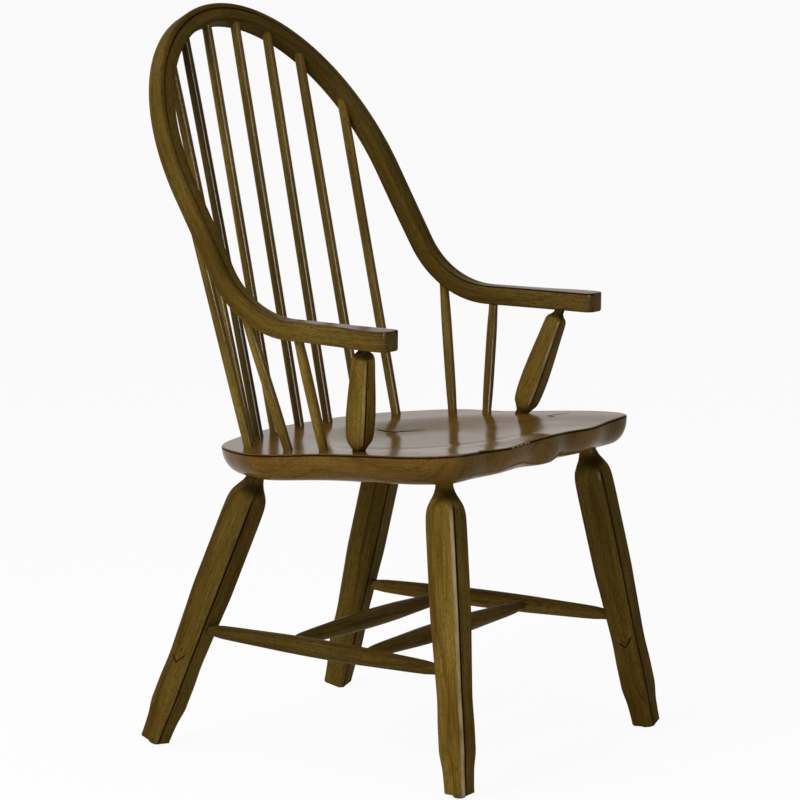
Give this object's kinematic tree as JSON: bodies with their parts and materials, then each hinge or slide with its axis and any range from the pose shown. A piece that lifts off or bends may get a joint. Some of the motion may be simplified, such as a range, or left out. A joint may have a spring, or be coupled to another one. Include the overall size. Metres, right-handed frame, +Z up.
{
  "type": "bow back armchair",
  "caption": "Wooden dining armchair: bent bow forms the hoop back and both arms over a carved seat on splayed legs with stretchers.",
  "frame": {"origin": "centre of the bounding box's footprint, on the floor under the four glides", "axes": "+Z up; the sitter faces -Y; +X is the sitter's left, so the chair mirrors across the YZ plane"},
  "size_m": [0.6074, 0.6475, 1.095],
  "materials": {
    "stained_wood": "olive-brown stain over open-pored wood, dark glaze in the grooves, satin-gloss lacquer",
    "seat_wood": "the same stain under a glossier lacquer that mirrors the room, distressed with gouges and nicks",
    "glide_plastic": "dark brown moulded glide"
  },
  "bodies": {
    "root": {"seat": "seat_wood", "bow": "stained_wood", "back_spindle_1": "stained_wood", "back_spindle_2": "stained_wood", "back_spindle_3": "stained_wood", "back_spindle_4": "stained_wood", "back_spindle_5": "stained_wood", "back_spindle_6": "stained_wood", "back_spindle_7": "stained_wood", "back_spindle_8": "stained_wood", "arm_spindle_front_right": "stained_wood", "arm_spindle_front_left": "stained_wood", "arm_spindle_rear_right": "stained_wood", "arm_spindle_rear_left": "stained_wood", "arm_post_right": "stained_wood", "arm_post_left": "stained_wood", "leg_front_right": "stained_wood", "leg_front_left": "stained_wood", "leg_back_right": "stained_wood", "leg_back_left": "stained_wood", "glide_front_right": "glide_plastic", "glide_front_left": "glide_plastic", "glide_back_right": "glide_plastic", "glide_back_left": "glide_plastic", "side_stretcher_right": "stained_wood", "side_stretcher_left": "stained_wood", "cross_stretcher_front": "stained_wood", "cross_stretcher_back": "stained_wood"}
  },
  "joints": []
}
